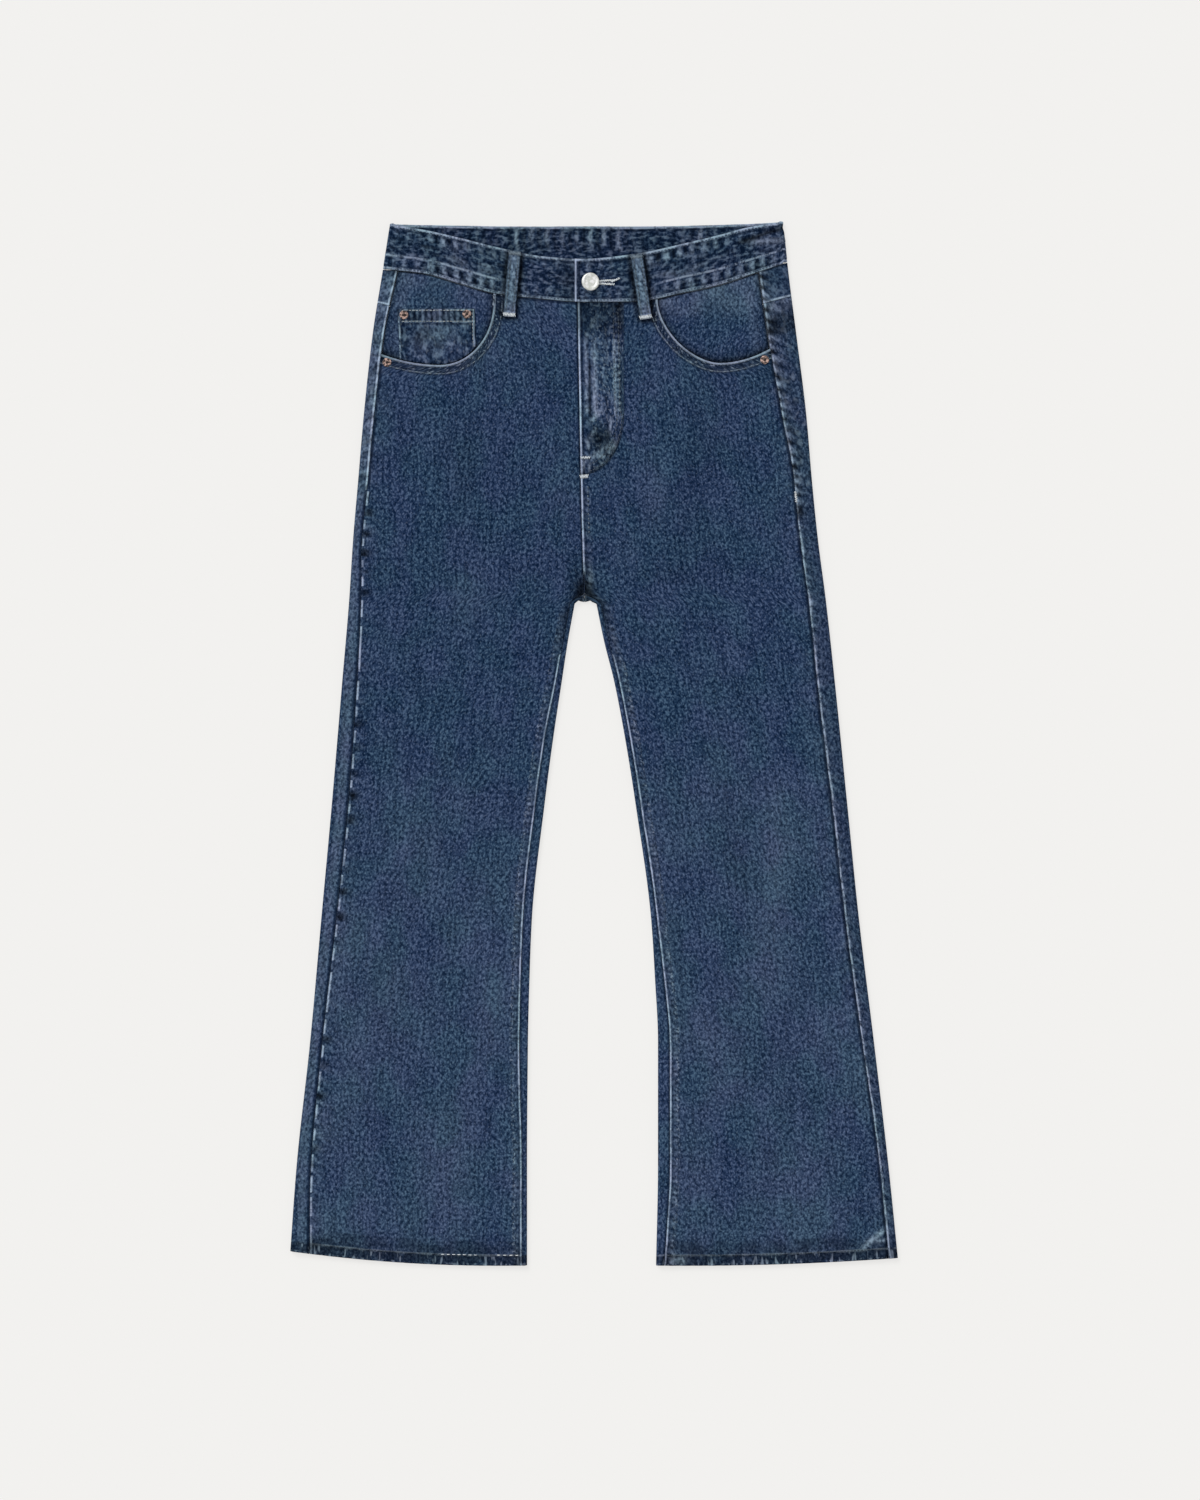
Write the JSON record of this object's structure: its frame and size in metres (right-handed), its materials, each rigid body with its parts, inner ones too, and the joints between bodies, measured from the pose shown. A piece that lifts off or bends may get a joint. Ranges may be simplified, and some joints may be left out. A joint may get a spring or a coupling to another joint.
{
  "type": "straight-leg jeans",
  "caption": "Straight-leg denim trousers lying flat, front up, with scooped front pockets, a coin pocket, patch back pockets, a lapped zip fly, belt loops and a shank button.",
  "frame": {"origin": "middle of the garment's outline, on the surface that it lies on", "axes": "+X the wearer's left (the picture's right), +Y up the body to the waist, +Z off the surface, out of the front"},
  "size_m": [0.594, 1.0185, 0.0163],
  "materials": {
    "denim": "matte, washed indigo twill with worn seams",
    "silvered_button": "pale silver, slightly worn",
    "copper_rivet": "worn copper"
  },
  "bodies": {
    "root": {"front_right": "denim", "front_left": "denim", "back_right": "denim", "back_left": "denim", "yoke_right": "denim", "yoke_left": "denim", "waistband": "denim", "fly": "denim", "pocket_facing_right": "denim", "pocket_facing_left": "denim", "coin_pocket": "denim", "back_pocket_right": "denim", "back_pocket_left": "denim", "belt_loop_front_right": "denim", "belt_loop_front_left": "denim", "belt_loop_back_right": "denim", "belt_loop_back_centre": "denim", "belt_loop_back_left": "denim", "button": "silvered_button", "rivet_coin_right": "copper_rivet", "rivet_coin_left": "copper_rivet", "rivet_pocket_right": "copper_rivet", "rivet_pocket_left": "copper_rivet"}
  },
  "joints": []
}
